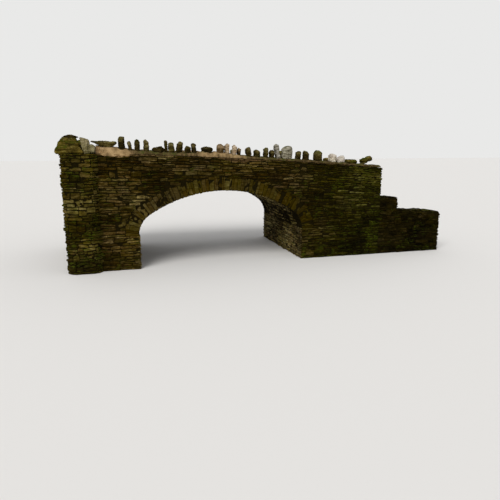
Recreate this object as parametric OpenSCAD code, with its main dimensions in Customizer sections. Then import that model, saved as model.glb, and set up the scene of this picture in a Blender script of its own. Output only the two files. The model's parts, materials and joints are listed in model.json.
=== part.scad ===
// Small rubble stone arch bridge over a stream: one flattened arch of thin stones set on edge,
// solid parapets with upright stones bedded in mortar, and a capped pier at the left end.
// Millimetres, X along the bridge, -Y is the downstream face, Z up from the foot of the walls.

/* [Arch] */
// Clear span between the two abutment faces
arch_span = 5000; // [4400:100:6200]
// Height of the springing above the foot of the walls
spring_h = 980; // [600:20:1400]
// Rise from the springing to the underside of the crown
arch_rise = 1240; // [1060:20:1500]
// Radius of the tighter curve next to each abutment
haunch_r = 700; // [500:10:850]
// Depth of the ring stones, measured away from the opening
ring_t = 390; // [300:10:480]
// How far the ring stones differ in depth
ring_uneven = 45; // [0:5:60]
// Number of stones in each ring
ring_stones = 53; // [41:2:61]
// Size of the worn edges along the joints between ring stones
joint_w = 12; // [4:1:18]
// Thickness of the barrel between the two rings
barrel_t = 350; // [260:10:380]

/* [Walls] */
// Width of the bridge over its two wall faces
bridge_w = 4000; // [3400:50:5000]
// Thickness of the walls below the road, and length of the ring stones
wall_t = 450; // [400:10:600]
// Thickness of the parapets
parapet_t = 400; // [320:10:400]
// Height of the parapets over the road
parapet_h = 430; // [380:10:900]
// Depth of road over the ring at the crown
crown_cover = 130; // [110:5:300]
// Length of wall between the arch and the left end pier
left_wall = 1050; // [750:50:1800]
// Length of wall between the arch and its right end
right_wall = 2700; // [1600:100:4000]
// Length of the right abutment, along the bridge
abutment_len = 900; // [600:50:1300]
// Drop of the wall top from the left end to the right end
top_fall = 480; // [0:20:600]
// Rise of the wall top over a straight line between its ends
top_hump = 60; // [0:5:150]

/* [Road] */
// Thickness of the gravel road surface
road_t = 90; // [50:5:100]

/* [End piers] */
// Length of each pier along the bridge
pier_len = 920; // [800:10:1200]
// How far each pier stands out from the wall face
pier_out = 220; // [120:10:350]
// Radius of the two outer corners
pier_r = 260; // [120:10:320]
// How far the cap boulder hangs over the left side of the pier
cap_over = 120; // [0:5:140]
// Height of the cap boulder
cap_h = 410; // [300:5:500]

/* [Right wing walls] */
// Length past the end of the parapet
wing_len = 2300; // [1200:100:3200]
// Height of the long low part, next to the end block
wing_h = 1440; // [1000:20:1800]
// Drop towards the far end
wing_drop = 100; // [0:10:300]
// Height of the end block beside the parapet over the low part
end_block_h = 430; // [0:10:500]
// Thickness
wing_t = 450; // [350:10:550]

/* [Coping] */
// Height of the mortar bed over the wall top
bed_h = 95; // [90:5:130]
// Extra height of the bed next to the left pier
bed_rise = 120; // [115:5:140]
// Extra height of the bed where it is packed up under the oval stone
bed_lift = 65; // [60:5:90]
// Size of the upright stones across the wall
stone_depth = 300; // [220:10:320]
// Size of the corners knocked off the stones
stone_chip = 30; // [15:1:34]

/* [Hidden] */
$fn = 96;

half_span = arch_span / 2;
half_w = bridge_w / 2;
left_end = -half_span - left_wall;
right_end = half_span + right_wall;
pier_end = left_end - pier_len;
// keeps the whole bridge centred on the origin
arch_x = -(pier_end - cap_over + right_end + wing_len) / 2;

// three-centred arch: a wide middle curve that runs smoothly into two tighter ones
haunch_x = half_span - haunch_r;
crown_r = (pow(haunch_x, 2) + pow(arch_rise, 2) - pow(haunch_r, 2)) / (2 * (arch_rise - haunch_r));
crown_z = spring_h + arch_rise - crown_r;
turn_angle = atan2(haunch_x, spring_h - crown_z);
crown_len = crown_r * turn_angle * PI / 180;
haunch_len = haunch_r * (90 - turn_angle) * PI / 180;
arch_len = 2 * (crown_len + haunch_len);

// angle from upright at a distance measured along the arch from the crown
function turn_at(run) = abs(run) <= crown_len
    ? run / crown_r * 180 / PI
    : sign(run) * (turn_angle + (abs(run) - crown_len) / haunch_r * 180 / PI);

// point at a turn, moved out from the opening and sideways along the curve
function arch_point(turn, out, side = 0) = let (
    middle = abs(turn) <= turn_angle,
    cx = middle ? 0 : sign(turn) * haunch_x,
    cz = middle ? crown_z : spring_h,
    r = (middle ? crown_r : haunch_r) + out
) [cx + r * sin(turn) + side * cos(turn), cz + r * cos(turn) - side * sin(turn)];

// repeatable unevenness between -1 and 1
function uneven(i, j = 0) = sin(i * 137.5 + j * 71) * cos(i * 61 + j * 29);
ring_pitch = arch_len / ring_stones;
function joint_turn(i) = i == 0 ? -90 : i == ring_stones ? 90
    : turn_at(-arch_len / 2 + ring_pitch * (i + 0.22 * uneven(i)));
function stone_out(i) = ring_t + ring_uneven * uneven(i, 3);

// the whole curve from springing to springing, moved out by a thickness
function arch_curve(out) = [for (i = [0 : ring_stones]) arch_point(joint_turn(i), out)];

// height of the wall top and of the road along the bridge
crown_top = spring_h + arch_rise + ring_t + crown_cover + parapet_h;
function along(x) = (x - left_end) / (right_end - left_end);
function top_shape(s) = -top_fall * s + top_hump * 4 * s * (1 - s);
function top_z(x) = crown_top + top_shape(along(x)) - top_shape(along(0));
function road_z(x) = top_z(x) - parapet_h;
left_steps = 10;
right_steps = 16;
wall_xs = concat([for (i = [0 : left_steps]) left_end * (1 - i / left_steps)],
    [for (i = [1 : right_steps]) right_end * i / right_steps]);
road_xs = concat([pier_end], wall_xs);

pier_top = top_z(left_end);
seat = 20;
// hairline between neighbouring stones of the arch
bed_gap = 0.6;

// Coping stones from left to right, each as group, gap before it, width, height over the wall
// top, height of its underside over the wall top, and lean in degrees
down_stones = [
    ["slab", -125, 690, 340, 175, 1],
    ["left", 40, 180, 480, seat, 0], ["left", 120, 95, 360, seat, -11],
    ["left", 40, 135, 420, seat, 3], ["left", 140, 145, 420, seat, -5],
    ["middle", 55, 350, 255, seat, 0], ["middle", 30, 70, 385, seat, -3],
    ["middle", 35, 160, 375, seat, -4], ["middle", 45, 165, 405, seat, 5],
    ["middle", 75, 165, 290, seat, 0], ["middle", 65, 120, 380, seat, -4],
    ["oval", 110, 360, 300, 130, 8],
    ["light", 135, 190, 390, seat, 2], ["light", 60, 115, 410, seat, -2],
    ["light", 80, 115, 390, seat, 5], ["light", 60, 85, 310, seat, 0],
    ["right", 200, 130, 340, seat, -6], ["right", 100, 170, 290, seat, 3],
    ["right", 125, 110, 360, seat, 5], ["right", 105, 110, 310, seat, -3],
    ["right", 85, 115, 500, seat, -10], ["right", 55, 335, 450, seat, 3],
    ["right", 130, 125, 330, seat, 6], ["right", 120, 165, 340, seat, 0],
    ["block", 180, 260, 390, seat, 2],
    ["flat", 280, 220, 320, seat, -4], ["flat", 45, 230, 270, seat, -3],
    ["mossy", 45, 390, 180, seat, 2],
    ["slanted", 170, 425, 300, 140, -22]];
down_last_gap = 220;
up_stones = [
    ["up_flat", 38, 350, 230, seat, 1], ["up_left", 339, 150, 350, seat, -3],
    ["up_left", 131, 110, 270, seat, -8], ["up_left", 123, 130, 310, seat, 3],
    ["up_left", 172, 150, 320, seat, 2], ["up_flat", 145, 360, 200, seat, 0],
    ["up_left", 220, 150, 250, seat, -4], ["up_left", 89, 160, 290, seat, 5],
    ["up_left", 138, 150, 230, seat, 0], ["up_left", 142, 140, 300, seat, -4],
    ["up_flat", 161, 350, 220, seat, 1], ["up_right", 256, 150, 320, seat, 2],
    ["up_right", 147, 130, 330, seat, -3], ["up_right", 92, 110, 300, seat, 4],
    ["up_right", 516, 140, 280, seat, -5], ["up_right", 152, 180, 240, seat, 3],
    ["up_right", 187, 120, 300, seat, 4], ["up_right", 142, 130, 260, seat, -3],
    ["up_right", 185, 120, 350, seat, 2], ["up_right", 90, 200, 300, seat, -4],
    ["up_right", 315, 145, 280, seat, 5], ["up_right", 165, 170, 290, seat, 0],
    ["up_flat", 265, 300, 260, seat, 1], ["up_flat", 125, 260, 220, seat, -2]];
up_last_gap = 60;

// the stones keep their size, and the gaps between them take up any change of the wall
function total(stones, column, last) = last < 0 ? 0
    : stones[last][column] + total(stones, column, last - 1);
function gap_stretch(stones, last_gap) = let (n = len(stones) - 1)
    (right_end - left_end - total(stones, 2, n)) / (total(stones, 1, n) + last_gap);
function coping_x(stones, last_gap, i) = left_end + gap_stretch(stones, last_gap) * total(stones, 1, i)
    + total(stones, 2, i) - stones[i][2] / 2;

dark_stone = [0.30, 0.28, 0.22];
ring_stone = [0.36, 0.31, 0.24];
moss_stone = [0.30, 0.33, 0.18];
light_stone = [0.55, 0.54, 0.50];
mortar = [0.52, 0.40, 0.33];
gravel = [0.45, 0.42, 0.38];

// Flat shapes in elevation

module opening_shape() {
    polygon(concat([[half_span, 0], [-half_span, 0]], arch_curve(0)));
}

// ring with its stepped outer edge, starting a little inside the opening
module ring_shape() {
    polygon(concat(
        [for (i = [0 : ring_stones - 1]) for (k = [0, 1]) arch_point(joint_turn(i + k), stone_out(i))],
        [for (i = [ring_stones : -1 : 0]) arch_point(joint_turn(i), -joint_w)]));
}

// one wedge stone between two joints, with its two edges in the opening worn off
module wedge_shape(i, out) {
    low = joint_turn(i);
    high = joint_turn(i + 1);
    low_gap = i == 0 ? 0 : bed_gap / 2;
    high_gap = i == ring_stones - 1 ? 0 : bed_gap / 2;
    polygon([arch_point(low, 0, low_gap + joint_w), arch_point(low, joint_w, low_gap),
        arch_point(low, out, low_gap), arch_point(high, out, -high_gap),
        arch_point(high, joint_w, -high_gap), arch_point(high, 0, -high_gap - joint_w)]);
}

// side view of the bridge up to the road, between two positions
module road_shape(from, to, drop = 0) {
    polygon(concat([[to, 0], [from, 0]],
        [for (x = road_xs) if (x >= from && x <= to) [x, road_z(x) - drop]]));
}

module abutments_shape() {
    translate([left_end, 0]) square([left_wall, spring_h]);
    translate([half_span, 0]) square([abutment_len, spring_h]);
}

// stands a side view up and gives it a thickness from one Y to another
module across(from, to) {
    translate([arch_x, to, 0]) rotate([90, 0, 0]) linear_extrude(height = to - from) children();
}

module upstream() { mirror([0, 1, 0]) children(); }
module downstream_wall() { across(-half_w, -half_w + wall_t) children(); }
module upstream_wall() { across(half_w - wall_t, half_w) children(); }

module spandrel_shape(from, to) {
    difference() {
        road_shape(from, to);
        opening_shape();
        ring_shape();
        abutments_shape();
    }
}

// Abutments, arch and walls

module left_abutment() {
    color(dark_stone) across(-half_w, half_w) translate([left_end, 0]) square([left_wall, spring_h]);
}

module right_abutment() {
    color(dark_stone) across(-half_w, half_w) translate([half_span, 0]) square([abutment_len, spring_h]);
}

module arch_barrel() {
    color(dark_stone) across(-half_w + wall_t, half_w - wall_t)
        for (i = [0 : ring_stones - 1]) wedge_shape(i, barrel_t);
}

// worn edge that runs up one joint on the face of the ring
module face_edge(i) {
    turn = joint_turn(i);
    start = arch_point(turn, -joint_w);
    translate([arch_x + start[0], -half_w, start[1]]) rotate([0, turn, 0])
        linear_extrude(height = ring_t + ring_uneven + 2 * joint_w)
            rotate(45) square(joint_w * sqrt(2), center = true);
}

module ring() {
    color(ring_stone) for (i = [0 : ring_stones - 1]) difference() {
        across(-half_w, -half_w + wall_t) wedge_shape(i, stone_out(i));
        face_edge(i);
        face_edge(i + 1);
    }
}

module arch_ring_downstream() { ring(); }
module arch_ring_upstream() { upstream() ring(); }

module spandrel_downstream_left() { color(dark_stone) downstream_wall() spandrel_shape(left_end, 0); }
module spandrel_downstream_right() { color(dark_stone) downstream_wall() spandrel_shape(0, right_end); }
module spandrel_upstream_left() { color(dark_stone) upstream_wall() spandrel_shape(left_end, 0); }
module spandrel_upstream_right() { color(dark_stone) upstream_wall() spandrel_shape(0, right_end); }

module parapet_shape() {
    polygon(concat([for (x = wall_xs) [x, road_z(x)]],
        [for (i = [len(wall_xs) - 1 : -1 : 0]) [wall_xs[i], top_z(wall_xs[i])]]));
}

module parapet_downstream() { color(dark_stone) across(-half_w, -half_w + parapet_t) parapet_shape(); }
module parapet_upstream() { color(dark_stone) across(half_w - parapet_t, half_w) parapet_shape(); }

// Road

module between_walls() { across(-half_w + wall_t, half_w - wall_t) children(); }

module road_fill() {
    color(gravel) between_walls() difference() {
        road_shape(pier_end, right_end, road_t);
        polygon(arch_curve(barrel_t));
        opening_shape();
        abutments_shape();
    }
}

module road_surface() {
    color(gravel) between_walls() polygon(concat([for (x = road_xs) [x, road_z(x)]],
        [for (i = [len(road_xs) - 1 : -1 : 0]) [road_xs[i], road_z(road_xs[i]) - road_t]]));
}

// End piers, with the two corners away from the road rounded

module pier_plan() {
    depth = pier_out + wall_t;
    translate([0, pier_r]) square([pier_len, depth - pier_r]);
    translate([pier_r, 0]) square([pier_len - 2 * pier_r, pier_r + 1]);
    for (x = [pier_r, pier_len - pier_r]) translate([x, pier_r]) circle(pier_r);
}

module end_pier() {
    translate([arch_x + pier_end, -half_w - pier_out, 0])
        linear_extrude(height = pier_top) pier_plan();
}

module end_pier_downstream() { color(moss_stone) end_pier(); }
module end_pier_upstream() { color(moss_stone) upstream() end_pier(); }

// Low wing walls past the right end, with a stepped rough top and a block beside the parapet

wing_steps = 7;
block_steps = 2;
function wing_step_z(i) = wing_h - wing_drop * i / (wing_steps - 1) + wing_h / 40 * uneven(i, 5)
    + (i < block_steps ? end_block_h : 0);

module wing_wall() {
    step = wing_len / wing_steps;
    across(-half_w, -half_w + wing_t) polygon(concat(
        [[right_end + wing_len, 0], [right_end, 0]],
        [for (i = [0 : wing_steps - 1]) for (k = [0, 1])
            [right_end + step * (i + k), wing_step_z(i)]]));
}

module wing_wall_downstream() { color(dark_stone) wing_wall(); }
module wing_wall_upstream() { color(dark_stone) upstream() wing_wall(); }

// Rough stones: a box whose corners are knocked off in all three views

function chip(size, i, j) = size * stone_chip / 100 * (1 + 0.35 * uneven(i, j));

module chipped_box(w, h, i) {
    size = min(w, h);
    a = chip(size, i, 1);
    b = chip(size, i, 2);
    c = chip(size, i, 3);
    d = chip(size, i, 4);
    polygon([[a - w / 2, 0], [w / 2 - b, 0], [w / 2, b], [w / 2, h - c],
        [w / 2 - c, h], [d - w / 2, h], [-w / 2, h - d], [-w / 2, a]]);
}

module rough_stone(w, d, h, i) {
    intersection() {
        translate([0, d / 2, 0]) rotate([90, 0, 0]) linear_extrude(height = d) chipped_box(w, h, i);
        translate([-w / 2, 0, 0]) rotate([90, 0, 90]) linear_extrude(height = w) chipped_box(d, h, i + 7);
        linear_extrude(height = h) translate([0, -d / 2]) chipped_box(w, d, i + 13);
    }
}

// lens-shaped stone: crown is the share of its height over the line between its two tips
module lens_stone(w, d, h, crown, i) {
    tip = (1 - crown) * h;
    intersection() {
        translate([0, d / 2, 0]) rotate([90, 0, 0]) linear_extrude(height = d) polygon([
            [-w / 2, tip], [-0.38 * w, 0.3 * tip], [-0.2 * w, 0], [0.16 * w, 0], [0.36 * w, 0.26 * tip],
            [w / 2, tip], [0.4 * w, h - 0.3 * (h - tip)], [0.2 * w, h], [-0.16 * w, h],
            [-0.38 * w, h - 0.34 * (h - tip)]]);
        linear_extrude(height = h) translate([0, -d / 2]) chipped_box(w, d, i + 13);
    }
}

// flat-topped slab whose underside rises at both ends, to a thin tip on its left
slab_tip = 0.86;

module slab_stone(w, d, h, i) {
    intersection() {
        translate([0, d / 2, 0]) rotate([90, 0, 0]) linear_extrude(height = d) polygon([
            [-w / 2, slab_tip * h], [-0.27 * w, 0.45 * h], [-0.13 * w, 0.22 * h], [0.06 * w, 0],
            [0.18 * w, 0], [0.36 * w, 0.2 * h], [0.46 * w, 0.48 * h], [w / 2, 0.75 * h],
            [0.46 * w, 0.95 * h], [0.2 * w, h], [-0.3 * w, h], [-0.46 * w, 0.97 * h]]);
        linear_extrude(height = h) translate([0, -d / 2]) chipped_box(w, d, i + 13);
    }
}

// Cap of the left pier

cap_w = pier_len * 0.8;
cap_d = pier_out + wall_t - 2 * seat;

module cap_rock() {
    intersection() {
        across(-half_w - pier_out + seat, -half_w + wall_t - seat)
            translate([pier_end - cap_over, pier_top]) polygon([[0.07 * cap_w, 0],
                [0.01 * cap_w, 0.05 * cap_h], [0, 0.1 * cap_h], [0.08 * cap_w, 0.44 * cap_h],
                [0.17 * cap_w, 0.76 * cap_h], [0.28 * cap_w, 0.94 * cap_h], [0.42 * cap_w, cap_h],
                [0.72 * cap_w, cap_h], [0.79 * cap_w, 0.84 * cap_h], [0.87 * cap_w, 0.55 * cap_h],
                [0.955 * cap_w, 0.2 * cap_h], [cap_w, 0]]);
        translate([arch_x + pier_end - cap_over, -half_w - pier_out + seat, pier_top])
            rotate([90, 0, 90]) linear_extrude(height = cap_w) polygon([[0.04 * cap_d, 0],
                [0, 0.3 * cap_h], [0.1 * cap_d, 0.8 * cap_h], [0.24 * cap_d, cap_h],
                [0.8 * cap_d, cap_h], [0.96 * cap_d, 0.7 * cap_h], [cap_d, 0.2 * cap_h],
                [0.97 * cap_d, 0]]);
    }
}

module cap_boulder() { color(moss_stone) cap_rock(); }
module cap_boulder_upstream() { color(moss_stone) upstream() cap_rock(); }

top_stone_w = 0.6 * cap_w;
top_stone_h = 0.22 * cap_h;

// stone with a low ridge and two thin tips, like a small roof
module ridge_stone(w, d, h, i) {
    intersection() {
        translate([0, d / 2, 0]) rotate([90, 0, 0]) linear_extrude(height = d) polygon([
            [-w / 2, 0.16 * h], [-0.4 * w, 0], [0.4 * w, 0], [w / 2, 0.12 * h], [0.44 * w, 0.3 * h],
            [0.1 * w, 0.95 * h], [-0.02 * w, h], [-0.14 * w, 0.93 * h], [-0.44 * w, 0.36 * h]]);
        linear_extrude(height = h) translate([0, -d / 2]) chipped_box(w, d, i + 13);
    }
}

module cap_top_stone() {
    color(dark_stone)
        translate([arch_x + pier_end - cap_over + 0.56 * cap_w, -half_w + (wall_t - pier_out) / 2,
            pier_top + cap_h])
            ridge_stone(top_stone_w, 0.6 * cap_d, top_stone_h, 2);
}

// plate that leans to the left against the boulder, wider at its top
module leaning_plate(w, d, h, i) {
    intersection() {
        translate([0, d / 2, 0]) rotate([90, 0, 0]) linear_extrude(height = d) polygon([[0, 0], [w, 0],
            [1.03 * w, 0.6 * h], [w, 0.93 * h], [0.85 * w, h], [-0.55 * w, h], [-0.68 * w, 0.92 * h],
            [-0.42 * w, 0.5 * h]]);
        linear_extrude(height = h) translate([0.16 * w, -d / 2]) chipped_box(1.8 * w, d, i + 13);
    }
}

// the plate and an upright stone right of the boulder: the second ends just under the slab's tip
module pier_light_stones() {
    room = pier_len + cap_over - cap_w;
    plate_w = 0.47 * room;
    second_w = room - plate_w - 2 * seat;
    depth = 0.7 * cap_d;
    slab = down_stones[0];
    color(light_stone)
        translate([arch_x + left_end - room, -half_w + (wall_t - pier_out) / 2, pier_top]) {
            translate([seat / 2, 0, 0]) leaning_plate(plate_w, depth, 0.92 * cap_h, 4);
            translate([room - seat / 2 - second_w / 2, 0, 0])
                rough_stone(second_w, depth, slab[4] + slab_tip * (slab[3] - slab[4]) - 2 * seat, 5);
        }
}

// Mortar bed on each parapet: a hump that follows the wall top

bed_points = 8;
lift_reach = 600;
oval_i = [for (i = [0 : len(down_stones) - 1]) if (down_stones[i][0] == "oval") i][0];
oval_x = coping_x(down_stones, down_last_gap, oval_i);
function bed_top(x) = bed_h + bed_rise * pow(1 - along(x), 10) - 0.3 * bed_h * along(x)
    + bed_lift * exp(-pow((x - oval_x) / lift_reach, 2));
function bed_point(x, k) = let (a = 180 * k / bed_points) [x + arch_x,
    -half_w + parapet_t / 2 - (parapet_t / 2 - seat / 2) * cos(a),
    top_z(x) + bed_top(x) * pow(sin(a), 0.6)];

module bed_hump() {
    row = bed_points + 1;
    last = len(wall_xs) - 1;
    polyhedron(
        points = [for (x = wall_xs) for (k = [0 : bed_points]) bed_point(x, k)],
        faces = concat(
            [[for (k = [0 : bed_points]) k]],
            [[for (k = [bed_points : -1 : 0]) last * row + k]],
            [for (i = [0 : last - 1])
                [i * row, (i + 1) * row, (i + 1) * row + bed_points, i * row + bed_points]],
            [for (i = [0 : last - 1]) for (k = [0 : bed_points - 1])
                [i * row + k, i * row + k + 1, (i + 1) * row + k]],
            [for (i = [0 : last - 1]) for (k = [0 : bed_points - 1])
                [(i + 1) * row + k, i * row + k + 1, (i + 1) * row + k + 1]]));
}

module coping_stone(s, x, i) {
    depth = stone_depth * (1 + 0.06 * uneven(i, 8));
    translate([arch_x + x, -half_w + parapet_t / 2, top_z(x) + s[4]]) rotate([0, s[5], 0])
        if (s[0] == "slab") slab_stone(s[2], depth, s[3] - s[4], i);
        else if (s[0] == "oval") lens_stone(s[2], depth, s[3] - s[4], 0.5, i);
        else rough_stone(s[2], depth, s[3] - s[4], i);
}

module coping(stones, last_gap, group = "all") {
    for (i = [0 : len(stones) - 1]) if (group == "all" || stones[i][0] == group)
        coping_stone(stones[i], coping_x(stones, last_gap, i), i);
}

module down_coping(group = "all") { coping(down_stones, down_last_gap, group); }
module up_coping(group = "all") { upstream() coping(up_stones, up_last_gap, group); }

module coping_bed_downstream() {
    color(mortar) difference() {
        bed_hump();
        down_coping();
    }
}

module coping_bed_upstream() {
    color(mortar) difference() {
        upstream() bed_hump();
        up_coping();
    }
}

module coping_slab() { color(dark_stone) down_coping("slab"); }
module coping_uprights_left() { color(dark_stone) down_coping("left"); }
module coping_stones_middle() { color(dark_stone) down_coping("middle"); }
module coping_oval_stone() { color(dark_stone) down_coping("oval"); }
module coping_light_stones() { color(light_stone) down_coping("light"); }
module coping_uprights_right() { color(dark_stone) down_coping("right"); }
module coping_block() { color(dark_stone) down_coping("block"); }
module coping_flat_stones() { color(light_stone) down_coping("flat"); }
module coping_mossy_stone() { color(moss_stone) down_coping("mossy"); }
module coping_slanted_stone() { color(moss_stone) down_coping("slanted"); }
module upstream_uprights_left() { color(dark_stone) up_coping("up_left"); }
module upstream_uprights_right() { color(dark_stone) up_coping("up_right"); }
module upstream_flat_stones() { color(moss_stone) up_coping("up_flat"); }

left_abutment();
right_abutment();
arch_barrel();
arch_ring_downstream();
arch_ring_upstream();
spandrel_downstream_left();
spandrel_downstream_right();
spandrel_upstream_left();
spandrel_upstream_right();
parapet_downstream();
parapet_upstream();
road_fill();
road_surface();
end_pier_downstream();
end_pier_upstream();
wing_wall_downstream();
wing_wall_upstream();
cap_boulder();
cap_top_stone();
pier_light_stones();
cap_boulder_upstream();
coping_bed_downstream();
coping_bed_upstream();
coping_slab();
coping_uprights_left();
coping_stones_middle();
coping_oval_stone();
coping_light_stones();
coping_uprights_right();
coping_block();
coping_flat_stones();
coping_mossy_stone();
coping_slanted_stone();
upstream_uprights_left();
upstream_uprights_right();
upstream_flat_stones();
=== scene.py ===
import json
import math
import random

import bmesh
import bpy
import numpy as np
from mathutils import Matrix, Vector, noise

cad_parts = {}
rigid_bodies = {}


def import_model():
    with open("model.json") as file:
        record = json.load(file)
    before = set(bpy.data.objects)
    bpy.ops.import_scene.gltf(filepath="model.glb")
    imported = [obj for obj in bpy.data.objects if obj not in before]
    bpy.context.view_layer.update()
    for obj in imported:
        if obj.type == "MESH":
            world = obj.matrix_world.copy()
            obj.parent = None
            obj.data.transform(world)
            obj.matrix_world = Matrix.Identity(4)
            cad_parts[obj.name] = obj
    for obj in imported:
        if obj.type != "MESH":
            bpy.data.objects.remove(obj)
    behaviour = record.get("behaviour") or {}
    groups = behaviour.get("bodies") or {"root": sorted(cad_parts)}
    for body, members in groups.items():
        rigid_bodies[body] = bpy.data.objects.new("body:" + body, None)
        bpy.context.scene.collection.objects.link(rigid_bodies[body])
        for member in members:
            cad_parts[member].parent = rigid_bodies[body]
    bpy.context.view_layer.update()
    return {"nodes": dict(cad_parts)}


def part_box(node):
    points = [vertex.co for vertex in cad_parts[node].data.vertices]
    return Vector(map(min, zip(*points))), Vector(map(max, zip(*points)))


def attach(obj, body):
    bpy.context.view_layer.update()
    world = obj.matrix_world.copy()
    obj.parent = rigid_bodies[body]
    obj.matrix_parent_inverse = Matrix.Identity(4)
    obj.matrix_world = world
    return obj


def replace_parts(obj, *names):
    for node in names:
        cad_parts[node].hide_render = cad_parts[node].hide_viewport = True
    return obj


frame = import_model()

scene = bpy.context.scene


# Form of the bridge, in metres

leftFoot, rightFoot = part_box("left_abutment"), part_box("right_abutment")
pierBox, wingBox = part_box("end_pier_downstream"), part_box("wing_wall_downstream")

bridge = {
    "rise": 1.24,            # springing to the underside of the crown
    "haunchR": 0.70,         # tight curve at each side of the arch
    "ringDepth": 0.39, "ringUneven": 0.045, "ringStones": 53,
    "jointUneven": 0.22,     # share of a ring stone's width
    "crownCover": 0.13,
    "parapetHeight": 0.43, "parapetThick": 0.40, "wallThick": 0.45, "roadThick": 0.09,
    "fall": 0.48,            # of the road, left end to right end
    "hump": 0.06,
}
sides = (("downstream", -1), ("upstream", 1))

archX, halfSpan = (leftFoot[1].x + rightFoot[0].x) / 2, (rightFoot[0].x - leftFoot[1].x) / 2
springZ, halfWidth = leftFoot[1].z, rightFoot[1].y
leftEnd, rightEnd = leftFoot[0].x, wingBox[0].x
wallLength = rightEnd - leftEnd
roadHalf, parapetInner = halfWidth - bridge["wallThick"], halfWidth - bridge["parapetThick"]
haunchX = halfSpan - bridge["haunchR"]
crownR = (haunchX ** 2 + bridge["rise"] ** 2 - bridge["haunchR"] ** 2) / (
    2 * (bridge["rise"] - bridge["haunchR"]))
crownZ = springZ + bridge["rise"] - crownR
turnAngle = math.atan2(haunchX, springZ - crownZ)
crownLength = crownR * turnAngle
archLength = 2 * (crownLength + bridge["haunchR"] * (math.pi / 2 - turnAngle))
crownTop = (springZ + bridge["rise"] + bridge["ringDepth"] + bridge["crownCover"]
            + bridge["parapetHeight"])


def archPoint(turn, out):
    # x and z of a point on the arch curve, moved out from the opening
    inMiddle = abs(turn) <= turnAngle
    cx = 0 if inMiddle else math.copysign(haunchX, turn)
    cz = crownZ if inMiddle else springZ
    r = (crownR if inMiddle else bridge["haunchR"]) + out
    return archX + cx + r * math.sin(turn), cz + r * math.cos(turn)


def uneven(i, j=0):
    # the same small differences from stone to stone as in the solids
    return (math.sin(math.radians(i * 137.5 + j * 71))
            * math.cos(math.radians(i * 61 + j * 29)))


def jointTurn(i):
    # where the joint under ring stone i stands, as an angle from the crown
    if i == 0 or i == bridge["ringStones"]:
        return math.copysign(math.pi / 2, i - 1)
    pitch = archLength / bridge["ringStones"]
    run = -archLength / 2 + pitch * (i + bridge["jointUneven"] * uneven(i))
    if abs(run) <= crownLength:
        return run / crownR
    return math.copysign(turnAngle + (abs(run) - crownLength) / bridge["haunchR"], run)


def topZ(x):
    # top of the parapets, which falls to the right with a slight hump
    def shape(place):
        s = (place - leftEnd) / wallLength
        return -bridge["fall"] * s + bridge["hump"] * 4 * s * (1 - s)

    return crownTop + shape(x) - shape(archX)


def roadZ(x):
    return topZ(x) - bridge["parapetHeight"]


def ringEdge(z):
    # half the width that the ring and the opening take at a height
    if z <= springZ:
        return halfSpan
    haunchOuter, crownOuter = (r + bridge["ringDepth"] for r in (bridge["haunchR"], crownR))
    lift = z - springZ
    if lift < haunchOuter * math.cos(turnAngle):
        return haunchX + math.sqrt(haunchOuter ** 2 - lift ** 2)
    return math.sqrt(max(0, crownOuter ** 2 - (z - crownZ) ** 2))


def bell(x, middle, width):
    return math.exp(-((x - middle) / width) ** 2)


def plateau(x, middle, width):
    return math.exp(-((x - middle) / width) ** 4)


# Materials

def linear(hexColor):
    parts = [int(hexColor[i:i + 2], 16) / 255 for i in (1, 3, 5)]
    return (*[c / 12.92 if c <= 0.04045 else ((c + 0.055) / 1.055) ** 2.4 for c in parts], 1.0)


def addNode(tree, kind, inputs=(), give=None, stops=(), **settings):
    # a kind without Node in it is a shader node; inputs go by name or in order, and each may
    # be a list of patterns and their shares, which are added up
    # gives the output that is named, or else the first
    node = tree.nodes.new(kind if "Node" in kind else "ShaderNode" + kind)
    for name, value in settings.items():
        setattr(node, name, value)
    for name, value in inputs.items() if isinstance(inputs, dict) else enumerate(inputs):
        if isinstance(value, list):
            total = 0.0
            for part, share in value:
                total = addNode(tree, "Math", (part, share, total), operation="MULTIPLY_ADD")
            value = total
        if isinstance(value, bpy.types.NodeSocket):
            tree.links.new(value, node.inputs[name])
        else:
            node.inputs[name].default_value = value
    if stops:
        ramp = node.color_ramp
        while len(ramp.elements) < len(stops):
            ramp.elements.new(0.5)
        for element, (place, color) in zip(ramp.elements, stops):
            element.position, element.color = place, linear(color)
    return node.outputs[give] if give else next((s for s in node.outputs if s.enabled), node)


def startMaterial(name, patterns):
    # each pattern: scale, detail, roughness, distortion and stretch along x, y and z
    material = bpy.data.materials.new(name)
    material.use_nodes = True
    tree = material.node_tree
    tree.nodes.clear()
    place = addNode(tree, "TexCoord", give="Object")

    def draw(scale, detail, roughness, distortion=0, stretch=(1, 1, 1)):
        return addNode(tree, "TexNoise", {
            "Vector": addNode(tree, "Mapping", {"Vector": place, "Scale": stretch}),
            "Scale": scale, "Detail": detail, "Roughness": roughness, "Distortion": distortion})

    return material, tree, place, [draw(*pattern) for pattern in patterns]


def layOver(tree, color, sources, low, high, most, top):
    # covers the colour where the sum of the sources goes from low to high
    cover = addNode(tree, "MapRange", (sources, low, high, 0, most),
                    interpolation_type="SMOOTHSTEP")
    return cover, addNode(tree, "Mix", {"Factor": cover, "A": color, "B": top}, data_type="RGBA")


def finishMaterial(tree, color, surface, relief, invert=False):
    bump = addNode(tree, "Bump", {"Height": relief, "Distance": surface["depth"],
                                  "Strength": surface["strength"]}, invert=invert)
    shader = addNode(tree, "BsdfPrincipled", {
        "Base Color": color, "Roughness": surface["roughness"], "IOR": 1.5,
        "Specular IOR Level": surface["specular"], "Normal": bump})
    addNode(tree, "OutputMaterial", {"Surface": shader})


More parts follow.
